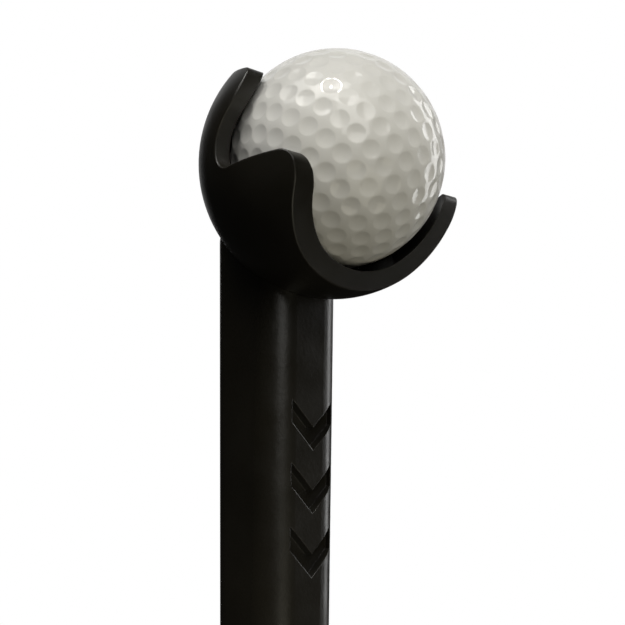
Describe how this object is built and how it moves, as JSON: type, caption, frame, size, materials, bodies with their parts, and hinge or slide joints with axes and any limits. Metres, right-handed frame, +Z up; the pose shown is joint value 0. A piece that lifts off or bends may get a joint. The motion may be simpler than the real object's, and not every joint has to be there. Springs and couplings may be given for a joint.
{
  "type": "batting tee",
  "caption": "Height-adjustable batting tee: pronged cup holding a small dimpled ball on a slim tapered neck, telescoping mast, cam clamp and weighted home-plate base.",
  "frame": {"origin": "on the floor, on the mast's axis, at the middle of the plate's outline", "axes": "+Z up along the mast; -Y is the front, where the cup opens; +X is sideways"},
  "size_m": [0.28, 0.2734, 0.6223],
  "materials": {
    "ball_white": "clear-coated, dimpled",
    "cup_black": "satin moulding",
    "neck_black": "fine moulded grain",
    "soft_rubber": "matte",
    "zinc_steel": "zinc plated",
    "black_steel": "black oxide",
    "satin_aluminium": "satin anodised",
    "nylon_black": "nylon",
    "black_coat": "powder coat",
    "collar_black": "anodised black",
    "lever_black": "anodised black",
    "plate_rubber": "fine grain",
    "cast_weight": "painted",
    "hub_black": "fine grain"
  },
  "bodies": {
    "base": {"outer_tube": "black_coat", "guide_bush": "nylon_black", "clamp_collar": "collar_black", "clamp_bolt": "black_steel", "clamp_nut": "zinc_steel", "clamp_washer": "nylon_black", "lever_pin": "zinc_steel", "base_hub": "hub_black", "hub_bolt": "black_steel", "hub_nut": "zinc_steel", "hub_screws": "black_steel", "base_cover": "plate_rubber", "base_weight": "cast_weight", "foot_pads": "soft_rubber", "foot_screws": "zinc_steel"},
    "mast": {"inner_tube": "satin_aluminium", "tube_foot_plug": "nylon_black", "neck_post": "neck_black", "neck_screw": "black_steel", "ball_cup": "cup_black", "cradle_pads": "soft_rubber", "cup_screws": "zinc_steel"},
    "lever": {"clamp_lever": "lever_black"},
    "ball": {"golf_ball": "ball_white"}
  },
  "joints": [
    {"name": "height_slide", "type": "slide", "parent": "base", "child": "mast", "axis": [0, 0, 1], "range_m": [0, 0.32]},
    {"name": "lever_swing", "type": "hinge", "parent": "base", "child": "lever", "pos_m": [0.0163, 0.0205, 0.421], "axis": [0, 0, 1], "range_deg": [0, 120]},
    {"name": "ball_lift", "type": "slide", "parent": "mast", "child": "ball", "axis": [0, -0.8829, 0.4695], "range_m": [0, 0.06]}
  ]
}
